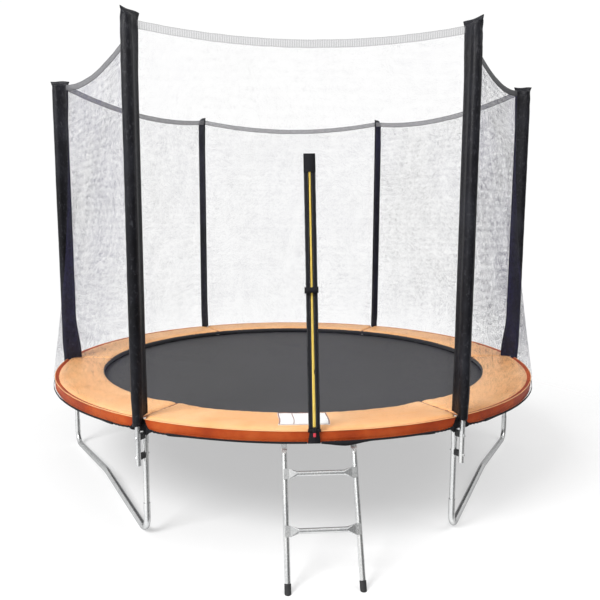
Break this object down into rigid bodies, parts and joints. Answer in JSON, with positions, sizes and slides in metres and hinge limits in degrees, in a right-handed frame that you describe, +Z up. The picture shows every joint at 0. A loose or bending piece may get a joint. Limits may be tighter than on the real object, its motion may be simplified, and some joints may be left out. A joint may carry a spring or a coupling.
{
  "type": "enclosed trampoline",
  "caption": "Round backyard trampoline on bent tube legs, with a padded spring cover, a zipped safety net on padded poles and a hook-on ladder.",
  "frame": {"origin": "centre of the jumping mat's top face, on the ring's axis", "axes": "+Z up; the zipped door and the ladder are on the -Y side; +X is to the right of someone facing the door"},
  "size_m": [3.146, 3.3704, 2.43],
  "materials": {
    "galvanised_steel": "satin",
    "spring_steel": "satin",
    "dark_bolt": "satin",
    "black_metal": "gloss",
    "black_pvc_cloth": "satin",
    "grey_foam": "matte",
    "white_foam": "matte",
    "orange_pvc": "satin",
    "net_mesh": "matte",
    "grey_band": "matte",
    "black_webbing": "matte",
    "black_plastic": "matte",
    "black_rubber": "matte",
    "yellow_coil": "satin",
    "mat_weave": "matte",
    "red_tab": "matte"
  },
  "bodies": {
    "frame": {"top_rail_1": "galvanised_steel", "top_rail_2": "galvanised_steel", "top_rail_3": "galvanised_steel", "top_rail_4": "galvanised_steel", "top_rail_5": "galvanised_steel", "top_rail_6": "galvanised_steel", "leg_upright_1": "galvanised_steel", "leg_upright_2": "galvanised_steel", "leg_upright_3": "galvanised_steel", "leg_upright_4": "galvanised_steel", "leg_upright_5": "galvanised_steel", "leg_upright_6": "galvanised_steel", "leg_base_rear": "galvanised_steel", "leg_base_left": "galvanised_steel", "leg_base_right": "galvanised_steel", "pole_lower_1": "galvanised_steel", "pole_lower_2": "galvanised_steel", "pole_lower_3": "galvanised_steel", "pole_lower_4": "galvanised_steel", "pole_lower_5": "galvanised_steel", "pole_lower_6": "galvanised_steel", "pole_upper_1": "galvanised_steel", "pole_upper_2": "galvanised_steel", "pole_upper_3": "galvanised_steel", "pole_upper_4": "galvanised_steel", "pole_upper_5": "galvanised_steel", "pole_upper_6": "galvanised_steel", "pole_sleeve_1": "black_pvc_cloth", "pole_sleeve_2": "black_pvc_cloth", "pole_sleeve_3": "black_pvc_cloth", "pole_sleeve_4": "black_pvc_cloth", "pole_sleeve_5": "black_pvc_cloth", "pole_sleeve_6": "black_pvc_cloth", "pole_foam": "grey_foam", "pole_spacers": "black_plastic", "pole_bolts": "dark_bolt", "pole_nuts": "galvanised_steel", "springs": "spring_steel", "pad_foam": "white_foam", "pad_cover": "orange_pvc", "safety_net": "net_mesh", "net_top_hem": "grey_band", "net_bottom_hem": "black_webbing", "zip_tape": "black_webbing", "zip_coil": "yellow_coil", "zip_end": "black_webbing", "door_base_tab": "black_webbing"},
    "mat": {"jump_mat": "mat_weave", "mat_webbing": "black_webbing", "mat_tabs": "black_webbing", "mat_v_rings": "spring_steel"},
    "ladder": {"ladder_rail_left": "galvanised_steel", "ladder_rail_right": "galvanised_steel", "ladder_step_upper": "galvanised_steel", "ladder_step_lower": "galvanised_steel", "ladder_feet": "black_rubber", "ladder_bolts": "galvanised_steel"},
    "zip_slider_body": {"zip_slider": "black_metal"},
    "zip_pull_body": {"zip_pull": "red_tab"},
    "keeper_body": {"keeper_strap": "black_webbing"}
  },
  "joints": [
    {"name": "mat_bounce", "type": "slide", "parent": "frame", "child": "mat", "axis": [0, 0, 1], "range_m": [-0.18, 0], "stiffness_N_per_m": 8000, "springref_m": 0.02, "deforming": ["springs"]},
    {"name": "ladder_swing", "type": "hinge", "parent": "frame", "child": "ladder", "pos_m": [0.07027, -1.49005, -0.0015], "axis": [-0.9989, -0.0471, 0], "range_deg": [0, 20]},
    {"name": "zip_slide", "type": "slide", "parent": "frame", "child": "zip_slider_body", "axis": [-0.0167, 0.1501, 0.9885], "range_m": [0, 1.1]},
    {"name": "zip_pull_turn", "type": "hinge", "parent": "zip_slider_body", "child": "zip_pull_body", "pos_m": [0.04804, -1.55568, 0.06012], "axis": [-0.9997, -0.0207, -0.0138], "range_deg": [0, 150]},
    {"name": "keeper_turn", "type": "hinge", "parent": "frame", "child": "keeper_body", "pos_m": [0.00668, -1.45683, 0.66351], "axis": [0.0167, -0.1501, -0.9885], "range_deg": [0, 110]}
  ]
}
